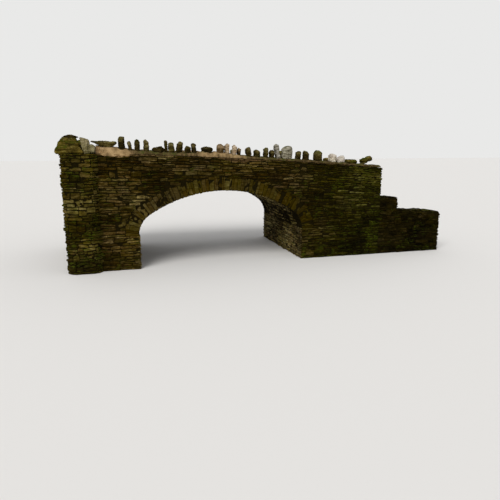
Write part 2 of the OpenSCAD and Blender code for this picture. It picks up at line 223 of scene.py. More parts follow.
# shade: how strongly the painted shade darkens and greens the right half
stoneLooks = {
    "wall": {"tones": "#0c0700 #211800 #342a09 #524421 #857648",
             "moss": 0.40, "lichen": 0.05, "damp": 0.9, "lime": 0.30, "shade": 1.0},
    "ring": {"tones": "#211900 #302602 #3d330f #4f4621 #6d623a",
             "moss": 0.32, "lichen": 0.05, "damp": 0.6, "lime": 0.25, "shade": 0.5},
    "vault": {"tones": "#191304 #3d3314 #5f5129 #857848 #b5ab82",
              "moss": 0.32, "lichen": 0.06, "damp": 0.5, "lime": 0.85},
    "pier": {"tones": "#0c0800 #231d02 #382f0b #52471e #7a6d43",
             "moss": 0.60, "lichen": 0.07, "damp": 0.7},
    "wing": {"tones": "#020100 #0f0b00 #1b1602 #29220a #494024",
             "moss": 0.36, "lichen": 0.03, "damp": 1.0},
    "coping": {"tones": "#0e0b02 #262008 #413817 #686038 #a39b74",
               "moss": 0.42, "lichen": 0.34, "damp": 0.3},
    "mossy": {"tones": "#100c01 #2f2808 #54481a #85773d #b9ab74",
              "moss": 0.60, "lichen": 0.32, "damp": 0.3},
    "pale": {"tones": "#1d180a #413a1d #645c3c #857c5b #b5ac8a",
             "moss": 0.34, "lichen": 0.46, "damp": 0.1},
    "tan": {"tones": "#1c1507 #46371c #756143 #9f8d6f #c8bca2",
            "moss": 0.24, "lichen": 0.40, "damp": 0.1},
}
toneStops = (0.14, 0.36, 0.53, 0.71, 0.93)
stonePatterns = (
    (1.3, 5, 0.60, 0.4, (3, 3, 26)),     # beds of the rock lie level, 20 to 40 mm apart
    (8, 7, 0.80, 0, (1, 1, 2)),          # blotches of 60 to 150 mm, twice as long as high
    (1.7, 4, 0.55),                      # weather patches of half a metre
    (150, 3, 0.70),                      # grit of 2 to 4 mm, drawn as coarse as it needs to show
    (31, 5, 0.75, 0.5),                  # crust lichen, in rings and dots of 10 to 60 mm
    (3.1, 7, 0.72),                      # sheets of moss
    (1.4, 4, 0.60, 0, (11, 11, 1.1)),    # upright runs of lime, 20 to 60 mm wide
)


def makeStone(name, look):
    # gritstone split by hand, long in the weather: gives broken tones, bedding streaks and moss
    material, tree, place, patterns = startMaterial(name, stonePatterns)
    beds, blotch, patch, grit, spots, sheets, runs = patterns
    damp, lime = look["damp"], look.get("lime", 0)
    normal = addNode(tree, "NewGeometry", give="Normal")
    facing = addNode(tree, "SeparateXYZ", {"Vector": normal}, "Z")
    along, _, height = addNode(tree, "SeparateXYZ", {"Vector": place}).node.outputs
    tint, near = (addNode(tree, "Attribute", give="Fac", attribute_name=key)
                  for key in ("stoneTint", "mortarNear"))
    # broken steps of a split face, 30 to 60 mm
    chips = addNode(tree, "TexVoronoi", {"Vector": place, "Scale": 24, "Detail": 1})

    # painted shade: the right half, which lies in shade, is drawn darker and greener; it also stays
    # damp, and so does the foot
    # each range: a value, where it starts and ends, and what it gives there
    shade = addNode(tree, "MapRange", ([(along, 1), (patch, 1.4)], 1.1, 3.9,
                                       0, look.get("shade", 0)))
    wet = addNode(tree, "MapRange", ([(height, 1), (patch, 0.7)], 0.35, 1.25, 1, 0))
    color = addNode(tree, "ValToRGB", {
        "Fac": [(1, -0.985), (tint, 0.58), (blotch, 1.10), (beds, 0.80), (patch, 0.40),
                (grit, 0.12), (shade, -0.15), (wet, -0.16 * damp)]},
        stops=list(zip(toneStops, look["tones"].split())))

    # a few stones are redder or yellower, those under the painted shade greener and the palest ones
    # grey
    odd = addNode(tree, "TexWhiteNoise", {"W": tint}, noise_dimensions="1D")
    hue = addNode(tree, "MapRange", (odd, 0, 1, 0.482, 0.508))
    strength = addNode(tree, "MapRange", (patch, 0, 1, 0.75, 1.25))
    bleach = addNode(tree, "MapRange", (tint, 0.96, 1.00, 1, 0.5))
    color = addNode(tree, "HueSaturation", {
        "Hue": [(hue, 1), (shade, 0.042)], "Saturation": [(strength, bleach)], "Color": color})

    lichenTone = addNode(tree, "ValToRGB", {"Fac": blotch},
                         stops=((0.35, "#6e6a4c"), (0.65, "#a9a588")))
    _, color = layOver(tree, color, [(spots, 1), (facing, 0.07), (patch, 0.30)],
                       0.86 - 0.22 * look["lichen"], 0.93 - 0.20 * look["lichen"], 0.75, lichenTone)
    # moss keeps to level edges, to the damp foot and to shaded patches
    mossTone = addNode(tree, "ValToRGB", {"Fac": [(grit, 0.6), (blotch, 0.5)]},
                       stops=((0.35, "#181b02"), (0.55, "#353c07"), (0.78, "#5c6516")))
    moss, color = layOver(
        tree, color, [(sheets, 1), (facing, 0.17), (wet, 0.06 * damp), (shade, 0.06)],
        0.79 - 0.40 * look["moss"], 0.94 - 0.40 * look["moss"], 0.9, mossTone)
    # lime washed out of the walls
    _, color = layOver(tree, color, [(runs, 1), (patch, 0.25)], 0.82 - 0.22 * lime,
                       0.98 - 0.22 * lime, lime, linear("#6d6647"))
    # bed mortar that ran over the top courses before it set, browner past the left half
    brown = addNode(tree, "MapRange", (along, -3.4, -1.6, 0, 0.34))
    smearTone = addNode(tree, "ValToRGB", {"Fac": [(blotch, 1), (brown, -1)]},
                        stops=((0.05, "#3a2912"), (0.35, "#6d5636"), (0.62, "#a5875e")))
    _, color = layOver(tree, color, [(near, 1), (blotch, 0.8)], 0.98, 1.12, 1, smearTone)

    finishMaterial(tree, color, {"roughness": [(1, 0.92), (wet, -0.22 * damp)],
                                 "specular": 0.02, "strength": 0.8, "depth": 0.012},
                   [(beds, 0.7), (blotch, 0.8), (grit, 0.16), (chips, 0.45), (moss, 0.4)])
    return material


stone = {key: makeStone("gritstone_" + key, look) for key, look in stoneLooks.items()}

# earth and broken stone packed behind the faces: dark and crumbly, it shows in the joints
earthCore, tree, _, (crumbs,) = startMaterial("packed_earth_core", (
    (34, 6, 0.7),))                      # crumbs of 15 to 40 mm
color = addNode(tree, "ValToRGB", {"Fac": crumbs},
                stops=((0.3, "#0e0b03"), (0.55, "#1a1506"), (0.8, "#2b230d")))
finishMaterial(tree, color, {"roughness": 0.95, "specular": 0.01, "strength": 0.9, "depth": 0.02},
               crumbs)

# lime mortar smoothed by trowel: pinkish tan where sound, brown and mossy where old
bedMortar, tree, _, (cloud, sand, runs) = startMaterial("lime_bed_mortar", (
    (6, 7, 0.68),                        # trowel marks of 100 mm
    (240, 2, 0.60),                      # sand of 1 to 2 mm, drawn as 4 mm
    (1.2, 5, 0.70, 0, (9, 9, 1.6))))     # stains that ran down
age = addNode(tree, "Attribute", give="Fac", attribute_name="mortarAge")
normal = addNode(tree, "NewGeometry", give="Normal")
facing = addNode(tree, "SeparateXYZ", {"Vector": normal}, "Z")
color = addNode(tree, "ValToRGB", {"Fac": [(cloud, 1), (sand, 0.16), (age, -0.20)]},
                stops=((0.28, "#4a3a22"), (0.46, "#7c6543"), (0.60, "#9f845c"), (0.80, "#b49870")))
_, color = layOver(tree, color, [(runs, 1), (age, 0.30)], 0.60, 0.86, 0.85, linear("#382e13"))
_, color = layOver(tree, color, [(cloud, 1), (facing, 0.08), (age, 0.16)], 0.66, 0.82, 0.8,
                   linear("#3a3f12"))
finishMaterial(tree, color, {"roughness": 0.9, "specular": 0.1, "strength": 0.7, "depth": 0.014},
               [(cloud, 1), (sand, 0.2)])

# crushed stone rolled into earth: grey-brown chips in a brown binder
roadGravel, tree, place, (dirt,) = startMaterial("rolled_gravel", (
    (2.4, 6, 0.6),))                     # patches of earth, 0.4 m
# chips of 15 to 25 mm
chips = addNode(tree, "TexVoronoi", {"Vector": place, "Scale": 48})
chipTone = addNode(tree, "SeparateColor", {"Color": chips.node.outputs["Color"]})
color = addNode(tree, "ValToRGB", {"Fac": chipTone},
                stops=((0.0, "#3d3627"), (0.5, "#5f5744"), (1.0, "#8b8470")))
cover = addNode(tree, "MapRange", (dirt, 0.40, 0.66, 0, 0.85))
color = addNode(tree, "Mix", {"Factor": cover, "A": color, "B": linear("#463a26")},
                data_type="RGBA")
finishMaterial(tree, color, {"roughness": 0.92, "specular": 0.25, "strength": 0.9, "depth": 0.012},
               chips, invert=True)
print("materials made")


def meshOf(bm, name):
    mesh = bpy.data.meshes.new(name)
    bm.to_mesh(mesh)
    bm.free()
    return mesh


def addAttribute(mesh, name, values, kind="FLOAT"):
    mesh.attributes.new(name, kind, "POINT").data.foreach_set(
        "vector" if kind == "FLOAT_VECTOR" else "value",
        np.array(values, np.int32 if kind == "INT" else np.float32).ravel())


def applied(holder, name):
    # the holder's mesh with its modifiers applied; the holder goes
    mesh = bpy.data.meshes.new_from_object(
        holder.evaluated_get(bpy.context.evaluated_depsgraph_get()))
    raw = holder.data
    holder.modifiers.clear()
    bpy.data.objects.remove(holder)
    bpy.data.meshes.remove(raw)
    mesh.name = name
    return mesh


def hold(name, mesh):
    thing = bpy.data.objects.new(name, mesh)
    scene.collection.objects.link(thing)
    return thing


def showPiece(name, mesh):
    piece = hold(name, mesh)
    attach(piece, "root")
    print(name, sum(len(face.vertices) - 2 for face in mesh.polygons), "triangles")
    return piece


# Base stones, each in a box of one unit, front at -Y

baseStones = {
    # edge: share of length, height and depth that the worn rim takes; dent: of the depth
    "walling": {"count": 16, "cols": 6, "rows": 2, "edge": (0.028, 0.17, 0.26), "dent": 0.24,
                "seed": 11},
    "voussoir": {"count": 10, "cols": 2, "rows": 5, "edge": (0.06, 0.030, 0.035), "dent": 0.030,
                 "seed": 12},
}
splitLook = {
    "skew": (1.5, 1.2),       # times the rim, how far a stone leans along and up
    "wander": (0.30, 0.25),   # of a point inside the face, as a share of its cell
    "waver": 0.02,            # of the upper and lower edge
    "dip": 0.11,              # how far these edges draw in, at most
    "nick": 0.03,             # and the ends
    "corner": (3.4, 2.8),     # times the rim, what a corner loses at most
    "back": (0.90, 0.86),     # size of the back against the rim
}


def splitStone(name, look, rng):
    bm = bmesh.new()
    cols, rows, dent, (edgeX, edgeZ, edgeY) = look["cols"], look["rows"], look["dent"], look["edge"]
    skew = rng.uniform(-1, 1) * edgeZ * splitLook["skew"][1]
    slant = rng.uniform(-1, 1) * edgeX * splitLook["skew"][0]
    wanderX, wanderZ = splitLook["wander"]
    grid = [[bm.verts.new((
        (c / cols - 0.5) * (1 - 2 * edgeX)
        + (rng.uniform(-1, 1) * wanderX / cols if 0 < c < cols else 0),
        -0.5 + rng.uniform(0, dent),
        (r / rows - 0.5) * (1 - 2 * edgeZ)
        + (rng.uniform(-1, 1) * wanderZ / rows if 0 < r < rows
           else rng.uniform(-splitLook["waver"], splitLook["waver"]))))
        for c in range(cols + 1)] for r in range(rows + 1)]
    loop = ([(0, c) for c in range(cols)] + [(r, cols) for r in range(rows)]
            + [(rows, c) for c in range(cols, 0, -1)] + [(r, 0) for r in range(rows, 0, -1)])
    rim, back = [], []
    for r, c in loop:
        dip = rng.uniform(0, splitLook["dip"])
        atEnd, atBed = c in (0, cols), r in (0, rows)
        x, z = c / cols - 0.5, r / rows - 0.5
        if atEnd and atBed:
            x *= rng.uniform(1 - splitLook["corner"][0] * edgeX, 1)
            z *= rng.uniform(1 - splitLook["corner"][1] * edgeZ, 1)
        if atEnd:
            x -= math.copysign(rng.uniform(0, splitLook["nick"]), x)
        if atBed:
            z -= math.copysign(dip, z)
        rim.append(bm.verts.new((x, -0.5 + edgeY + rng.uniform(0, dent * 0.4), z)))
        back.append(bm.verts.new((x * splitLook["back"][0], 0.5, z * splitLook["back"][1])))
    for r in range(rows):
        for c in range(cols):
            bm.faces.new((grid[r][c], grid[r][c + 1], grid[r + 1][c + 1], grid[r + 1][c]))
    inner = [grid[r][c] for r, c in loop]
    for k in range(len(loop)):
        n = (k + 1) % len(loop)
        bm.faces.new((inner[k], rim[k], rim[n], inner[n]))
        bm.faces.new((rim[k], back[k], back[n], rim[n]))
    bm.faces.new(back)
    for v in bm.verts:
        v.co.x, v.co.z = v.co.x + slant * v.co.z, v.co.z + skew * v.co.x
    bmesh.ops.recalc_face_normals(bm, faces=bm.faces)
    bmesh.ops.triangulate(bm, faces=bm.faces)
    mesh = meshOf(bm, name)
    addAttribute(mesh, "local", [v.co for v in mesh.vertices], "FLOAT_VECTOR")
    return bpy.data.objects.new(name, mesh)


stoneSets = {}
for name, look in baseStones.items():
    stoneSets[name] = bpy.data.collections.new(name)
    rng = random.Random(look["seed"])
    for i in range(look["count"]):
        stoneSets[name].objects.link(splitStone(f"{name}_{i:02d}", look, rng))


def anyStone(rng, key="walling"):
    return rng.randrange(baseStones[key]["count"])


# One tree lays every kind of stone: points carry each stone's size, turn and taper

stoneFields = (("stoneSize", "FLOAT_VECTOR"), ("stoneTurn", "FLOAT_VECTOR"),
               ("stoneTint", "FLOAT"), ("stonePick", "INT"), ("stoneTaper", "FLOAT"))
chipDensity = 31.0            # chips of about 30 mm
tree = stoneLaying = bpy.data.node_groups.new("stoneLaying", "GeometryNodeTree")
tree.interface.new_socket("Stones laid", in_out="OUTPUT", socket_type="NodeSocketGeometry")
for name, kind in (("Places", "Geometry"), ("Base stones", "Collection"), ("Lump size", "Float"),
                   ("Lump height", "Float"), ("Chip height", "Float"), ("Finish", "Material")):
    tree.interface.new_socket(name, in_out="INPUT", socket_type="NodeSocket" + kind)
given = addNode(tree, "NodeGroupInput").node.outputs
row = {name: addNode(tree, "GeometryNodeInputNamedAttribute", {"Name": name}, data_type=kind)
       for name, kind in (*stoneFields, ("local", "FLOAT_VECTOR"))}
turn = addNode(tree, "FunctionNodeEulerToRotation", {"Euler": row["stoneTurn"]})
choice = addNode(tree, "GeometryNodeCollectionInfo", {
    "Collection": given["Base stones"], "Separate Children": True, "Reset Children": True})
laid = addNode(tree, "GeometryNodeInstanceOnPoints", {
    "Points": given["Places"], "Instance": choice, "Pick Instance": True,
    "Instance Index": row["stonePick"], "Rotation": turn, "Scale": row["stoneSize"]})
solid = addNode(tree, "GeometryNodeRealizeInstances", {"Geometry": laid})

# wedge stones widen away from the opening
widen, _, up = addNode(tree, "SeparateXYZ", {"Vector": row["local"]}).node.outputs
length = addNode(tree, "SeparateXYZ", {"Vector": row["stoneSize"]}, "X")
for factor in (up, length, row["stoneTaper"]):
    widen = addNode(tree, "Math", (widen, factor), operation="MULTIPLY")
turned = addNode(tree, "FunctionNodeRotateVector", {
    "Vector": addNode(tree, "CombineXYZ", {"X": widen}), "Rotation": turn})
shape = addNode(tree, "GeometryNodeSetPosition", {"Geometry": solid, "Offset": turned})

# every stone gets its own lumps and chips
lumpDensity = addNode(tree, "Math", (1.0, given["Lump size"]), operation="DIVIDE")
for density, height in ((lumpDensity, "Lump height"), (chipDensity, "Chip height")):
    cloud = addNode(tree, "TexNoise", {"Scale": density, "Detail": 2.0, "Roughness": 0.6},
                    "Color")
    middle = addNode(tree, "VectorMath", (cloud, (0.5, 0.5, 0.5)), operation="SUBTRACT")
    shift = addNode(tree, "VectorMath", {0: middle, "Scale": given[height]}, operation="SCALE")
    shape = addNode(tree, "GeometryNodeSetPosition", {"Geometry": shape, "Offset": shift})
done = addNode(tree, "GeometryNodeSetMaterial", {"Geometry": shape, "Material": given["Finish"]})
addNode(tree, "NodeGroupOutput", {"Stones laid": done})
layingInputs = {item.name: item.identifier for item in stoneLaying.interface.items_tree
                if item.in_out == "INPUT"}
mostTint = 0.92               # paler stones would look bleached


def addStone(stones, place, turned, size, tint, pick, taper=0.0):
    # turned: matrix whose columns are the stone's length, inward and upward axes
    stones.append((tuple(place), tuple(size), tuple(turned.to_euler()), tint, pick, taper))


def limited(tint):
    return min(mostTint, max(0, tint))


def layStones(name, stones, baseSet, finish, lumps=(0.11, 0.026, 0.011), smear=None):
    # lumps: their size and height, then the height of the chips
    places, *columns = zip(*stones)
    points = bpy.data.meshes.new(name + "_points")
    points.from_pydata(places, [], [])
    for (key, kind), column in zip(stoneFields, columns):
        addAttribute(points, key, column, kind)
    holder = hold(name + "_holder", points)
    laying = holder.modifiers.new("laying", "NODES")
    laying.node_group = stoneLaying
    for key, value in zip(("Base stones", "Finish", "Lump size", "Lump height", "Chip height"),
                          (stoneSets[baseSet], finish, *lumps)):
        laying[layingInputs[key]] = value
    mesh = applied(holder, name)
    for spare in ("local", "stoneSize", "stoneTurn", "stonePick", "stoneTaper"):
        if spare in mesh.attributes:
            mesh.attributes.remove(mesh.attributes[spare])
    if smear:
        addAttribute(mesh, "mortarNear", [smear(v.co) for v in mesh.vertices])
    mesh.shade_smooth()
    mesh.set_sharp_from_angle(angle=math.radians(34))
    showPiece(name, mesh)


# Rubble courses

walling = {
    "course": (0.045, 0.120),   # heights of the courses
    "length": (0.14, 0.60),
    "usual": 0.24,              # commonest length
    "joint": 0.006,
    "split": 0.45,              # share of thick courses that are two thin stones
    "thick": 0.088,
    "tall": 0.06,               # share of stones that reach through two courses
    "tallTo": 0.30,             # longest of these
    "waver": 0.030,             # how far a bed joint rises and falls
    "depth": 0.085,
    "proud": (0.002, 0.034),    # how far a stone stands out of the wall's plane
    "lean": 0.06,
    "bulge": 0.020,             # slow swelling of the whole face
}


def cutSpans(spans, blocked):
    for low, high in blocked:
        spans = [part for a, b in spans for part in ((a, min(b, low)), (max(a, high), b))
                 if part[1] - part[0] > 0.03]
    return spans


def layCourses(face, look, rng):
    # middle, height, length and thickness of every stone of a face, course by course
    laid, z, tall = [], 0.0, []
    levels = sorted(face.get("levels", []) + [face["height"]])
    thinnest, (shortest, longest) = look["course"][0], look["length"]
    nextHeight = rng.uniform(*look["course"])
    while face["height"] - z > 0.015:
        h, nextHeight = nextHeight, rng.uniform(*look["course"])
        level = next(v for v in levels if v > z + 0.012)
        if z + h > level - thinnest * 0.8:
            h = level - z
        above = next((v for v in levels if v > z + h + 0.012), None)
        canReach = above and z + h + nextHeight < above - thinnest
        reaching = []
        for s, end in cutSpans(face["spans"](z, z + h), tall):
            while end - s > 0.02:
                w = rng.triangular(shortest, longest, look["usual"])
                if end - s - w < shortest:
                    w = end - s if end - s < longest * 1.15 else (end - s) / 2
                parts = [(0, h)]
                if canReach and w < look["tallTo"] and rng.random() < look["tall"]:
                    parts = [(0, h + nextHeight)]
                    reaching.append((s, s + w))
                elif h > look["thick"] and rng.random() < look["split"]:
                    cut = h * rng.uniform(0.42, 0.58)
                    parts = [(0, cut), (cut, h)]
                laid += [(s + w / 2, z + (a + b) / 2, w, b - a) for a, b in parts]
                s += w
        tall = reaching
        z += h
    return laid


def pathPoint(path, s):
    # point and direction at a distance along a path, whose outside is on its right
    for (x0, y0), (x1, y1) in zip(path, path[1:]):
        length = math.hypot(x1 - x0, y1 - y0)
        if s <= length or (x1, y1) == path[-1]:
            t = s / length
            return x0 + (x1 - x0) * t, y0 + (y1 - y0) * t, ((x1 - x0) / length, (y1 - y0) / length)
        s -= length


def addRubble(stones, face, seed, look=walling):
    rng = random.Random(seed)
    chance = rng.uniform(0, 50)
    base, top = face.get("lift", lambda s, z: z), face["height"]

    def lift(s, z):
        # bed joints that rise and fall, except at the foot and the top
        free = max(0, min(1, z / 0.15, (top - z) / 0.15))
        return base(s, z) + look["waver"] * free * noise.noise((s * 1.9 + chance, z * 23, chance))

    for s, z, w, h in layCourses(face, look, rng):
        x, y, along = pathPoint(face["path"], s)
        low, high = lift(s, z - h / 2), lift(s, z + h / 2)
        slope = (lift(s + 0.05, z) - lift(s - 0.05, z)) / 0.1
        edge = min(1, min(z, top - z) / 0.25)
        roll = -math.atan(slope) + rng.gauss(0, look["lean"] * 0.35) * edge
        yaw, tilt = rng.gauss(0, look["lean"]), rng.gauss(0, look["lean"] * 1.4)
        proud = rng.uniform(*look["proud"]) + look["bulge"] * (
            0.5 + 0.5 * noise.noise((s * 0.7 + chance, z * 0.9, 3)))
        out = Vector((along[1], -along[0], 0))
        turned = Matrix((Vector((*along, 0)), -out, Vector((0, 0, 1)))).transposed()
        for angle, axis in ((yaw, "Z"), (roll, "Y"), (tilt, "X")):
            turned = turned @ Matrix.Rotation(angle, 3, axis)
        place = Vector((x, y, (low + high) / 2)) + out * (proud - look["depth"] / 2)
        size = (w - look["joint"] * rng.uniform(-0.4, 0.6), look["depth"],
                max(0.02, high - low - look["joint"] * rng.uniform(0.2, 2.4)))
        # stones of one load are alike, so tones lie in patches
        tint = 0.5 + 0.55 * noise.noise((s * 0.8 + chance, z * 1.3, 23)) + rng.gauss(0, 0.15)
        addStone(stones, place, turned, size, limited(tint), anyStone(rng))


def wholeSpan(length, before=0.02, after=0.02):
    # before and after: how far the courses run past the ends
    return lambda low, high: [(-before, length + after)]


# Outer and inner faces of the walls, from the foot to the coping

topStones = {"places": ((0.07, 0.055, 0.15, 0.10), (0.22, 0.03, 0.17, 0.065),
                        (0.06, 0.125, 0.10, 0.06)),      # from the left end, up, length, height
             "inside": 0.03, "tint": 0.3, "pick": 3}
smearLook = {"least": 0.03, "spots": ((0.17, leftEnd + 0.53, 0.38), (0.24, -0.95, 0.55))}


def startOf(way):
    # a wall's outside is on the right of its path: way 1 runs along +X, way -1 back
    return leftEnd if way > 0 else rightEnd


def outerSpans(way):
    # whole courses, open where the ring and the opening are
    whole, middle = [(-0.01, wallLength + 0.02)], way * (archX - startOf(way))

    def spans(low, high):
        z = (low + high) / 2
        half = ringEdge(z if low >= springZ - 0.001 else min(z, springZ))
        return whole if half < 0.03 else cutSpans(whole, [(middle - half, middle + half)])
    return spans


def mortarSmear(place):
    # 1 at the wall top, 0 where no mortar reaches; it ran furthest at the spots
    reach = smearLook["least"] + sum(
        far * plateau(place.x, x, width) for far, x, width in smearLook["spots"])
    return max(0, 1 - (topZ(place.x) - place.z) / reach)


for k, (side, sign) in enumerate(sides):
    # courses lie level at the foot and follow the falling top higher up
    stones, y, way = [], sign * halfWidth, -sign
    addRubble(stones, {
        "path": [(startOf(way), y), (startOf(-way), y)], "height": crownTop,
        "levels": [springZ], "spans": outerSpans(way),
        "lift": lambda s, z: z + (topZ(startOf(way) + way * s) - crownTop) * (
            max(0, z) / crownTop) ** 3}, 101 + k)
    for along, up, w, h in topStones["places"]:
        x = leftEnd + along
        addStone(stones, (x, y - sign * topStones["inside"], topZ(x) + up), Matrix.Identity(3),
                 (w, walling["depth"], h), topStones["tint"], topStones["pick"])
    layStones("wall_stones_" + side, stones, "walling", stone["wall"],
              smear=mortarSmear)

    # the face towards the road
    stones, y, way = [], sign * parapetInner, sign
    addRubble(stones, {
        "path": [(startOf(way), y), (startOf(-way), y)],
        "height": bridge["parapetHeight"], "spans": wholeSpan(wallLength, 0.02, 0),
        "lift": lambda s, z: roadZ(startOf(way) + way * s) + z}, 103 + k)
    layStones("parapet_stones_" + side, stones, "walling", stone["wall"],
              smear=mortarSmear)
print("walls faced")


# End piers: the outer faces run round two corners

pier = {"radius": 0.26, "cornerPoints": 6}
pierLook = {**walling, "course": (0.05, 0.13), "length": (0.13, 0.38), "proud": (0.002, 0.026),
            "waver": 0.036, "tall": 0.16, "lean": 0.09, "joint": 0.007}
(px0, py0, _), (px1, py1, pierTop) = pierBox


def corner(cx, cy, start, stop):
    turns = np.linspace(math.radians(start), math.radians(stop), pier["cornerPoints"])
    return [(cx + pier["radius"] * math.cos(a), cy + pier["radius"] * math.sin(a)) for a in turns]


def onSide(sign, path):
    # the path as given downstream, mirrored and turned round upstream
    return path if sign < 0 else [(x, -y) for x, y in reversed(path)]


pierPath = ([(px0, py1)] + corner(px0 + pier["radius"], py0 + pier["radius"], 180, 270)
            + corner(px1 - pier["radius"], py0 + pier["radius"], 270, 350))
roadSide = roadZ(px1) - 0.02         # foot of the face over the road
for k, (side, sign) in enumerate(sides):
    stones, path = [], onSide(sign, pierPath)
    length = sum(math.dist(a, b) for a, b in zip(path, path[1:]))
    addRubble(stones, {"path": path, "height": pierTop,
                       "spans": wholeSpan(length)}, 111 + k, pierLook)
    addRubble(stones, {
        "path": onSide(sign, [(px1, py1), (px0, py1)]), "height": pierTop - roadSide,
        "lift": lambda s, z: roadSide + z,
        "spans": wholeSpan(px1 - px0)}, 113 + k, pierLook)
    layStones("pier_stones_" + side, stones, "walling", stone["pier"])


# Wing walls: a block beside the parapet, then a long low part, with through-stones on top

wing = {"steps": 7, "height": 1.44, "drop": 0.10, "thick": 0.45, "block": 0.43, "blockSteps": 2,
        "uneven": 1 / 40,            # of the height
        "cover": 0.03}               # how far the courses stay under the top
wingLook = {**walling, "length": (0.14, 0.50), "course": (0.06, 0.15), "proud": (0.006, 0.038)}
throughStones = {"length": (0.20, 0.42), "height": (0.04, 0.10), "over": (-0.05, 0.06),
                 "joint": 0.012, "tint": (0.3, 0.8)}
wingEnd = wingBox[1].x
wingLength = wingEnd - rightEnd
wingStep = wingLength / wing["steps"]
blockLength = wingStep * wing["blockSteps"]
blockX = rightEnd + blockLength


def wingZ(x):
    i = min(wing["steps"] - 1, max(0, int((x - rightEnd) / wingStep)))
    return (wing["height"] - wing["drop"] * i / (wing["steps"] - 1)
            + wing["height"] * wing["uneven"] * uneven(i, 5))


def wingFace(y, way):
    fromX = rightEnd if way > 0 else wingEnd
    blockSpan = (0, blockLength) if way > 0 else (wingLength - blockLength, wingLength)
    return {
        "path": [(fromX, y), (fromX + way * wingLength, y)],
        "height": wing["height"] + wing["block"] - wing["cover"],
        "levels": [wing["height"] - wing["cover"]],
        "lift": lambda s, z: z + (wingZ(fromX + way * s) - wing["height"]) * min(
            1, z / wing["height"]) ** 2,
        "spans": lambda low, high: [blockSpan if low > wing["height"] - 0.05 else (0, wingLength)]}


for side, sign in sides:
    stones = []
    y0, y1 = sorted((sign * halfWidth, sign * (halfWidth - wing["thick"])))
    blockBase = wingZ(blockX + 0.01)
    faces = [wingFace(y0, 1), wingFace(y1, -1),
             {"path": [(wingEnd, y0), (wingEnd, y1)], "height": wingZ(wingEnd) - wing["cover"],
              "spans": wholeSpan(wing["thick"])},
             {"path": [(blockX, y0), (blockX, y1)],
              "height": wingZ(blockX - 0.01) + wing["block"] - wing["cover"] - blockBase,
              "lift": lambda s, z: blockBase + z, "spans": wholeSpan(wing["thick"])}]
    for k, face in enumerate(faces):
        addRubble(stones, face, 121 + k + 4 * (sign > 0), wingLook)
    rng = random.Random(129 + sign)
    x = rightEnd + 0.02
    while wingEnd - x > 0.05:
        onBlock = x < blockX - 0.05
        w = min(rng.uniform(*throughStones["length"]), (blockX if onBlock else wingEnd + 0.02) - x)
        h = rng.uniform(*throughStones["height"])
        top = wingZ(x + w / 2) + (wing["block"] if onBlock else 0)
        turned = (Matrix.Rotation(rng.gauss(0, 0.07), 3, "Z")
                  @ Matrix.Rotation(rng.gauss(0, 0.04), 3, "Y"))
        addStone(stones, (x + w / 2, (y0 + y1) / 2, top + h / 2 - wing["cover"]), turned,
                 (w - throughStones["joint"],
                  wing["thick"] + rng.uniform(*throughStones["over"]), h),
                 rng.uniform(*throughStones["tint"]), anyStone(rng))
        x += w
    layStones("wing_stones_" + side, stones, "walling", stone["wing"])


# Ends of the bridge

def rightEndSpans(low, high):
    z, over = (low + high) / 2, 0.02
    if z < wing["height"] + wing["block"] - 0.04:
        return [(bridge["wallThick"] + over, 2 * halfWidth - bridge["wallThick"] - over)]
    if z < roadZ(rightEnd) - bridge["roadThick"]:
        return [(-over, 2 * halfWidth + over)]
    return [(-over, bridge["parapetThick"]),
            (2 * halfWidth - bridge["parapetThick"], 2 * halfWidth + over)]


stones = []
addRubble(stones, {
    "path": [(rightEnd, -halfWidth), (rightEnd, halfWidth)], "height": topZ(rightEnd),
    "levels": [wing["height"] + wing["block"] - wing["cover"],
               roadZ(rightEnd) - bridge["roadThick"]],
    "spans": rightEndSpans}, 131)
addRubble(stones, {
    "path": [(px0, roadHalf), (px0, -roadHalf)], "height": roadZ(px0) - bridge["roadThick"],
    "spans": wholeSpan(2 * roadHalf, 0, 0)}, 132)
layStones("end_stones", stones, "walling", stone["wall"])
print("piers, wings and ends faced")


# The arch: ring stones on both faces, courses of the vault between them

ringLook = {"joint": 0.004, "proud": (0.002, 0.026), "low": (0.004, 0.016),
            "through": (0.34, 0.50),       # how far a stone reaches into the vault
            "ragged": (-0.02, 0.012),      # of the outer edge
            "short": 0.30, "shortTo": (0.52, 0.80),   # share of places with two stones, end to end
            "thin": 0.22}                  # share with two stones side by side
vaultLook = {"length": (0.18, 0.62), "joint": 0.010, "proud": (0.004, 0.022), "depth": 0.10}
throughs = {}


def ringTint(x):
    # paler towards the left foot, as dark as the wall on the right haunch
    return 0.44 + 0.05 * (archX - x) - 0.16 * max(0, x - archX - 1.0)


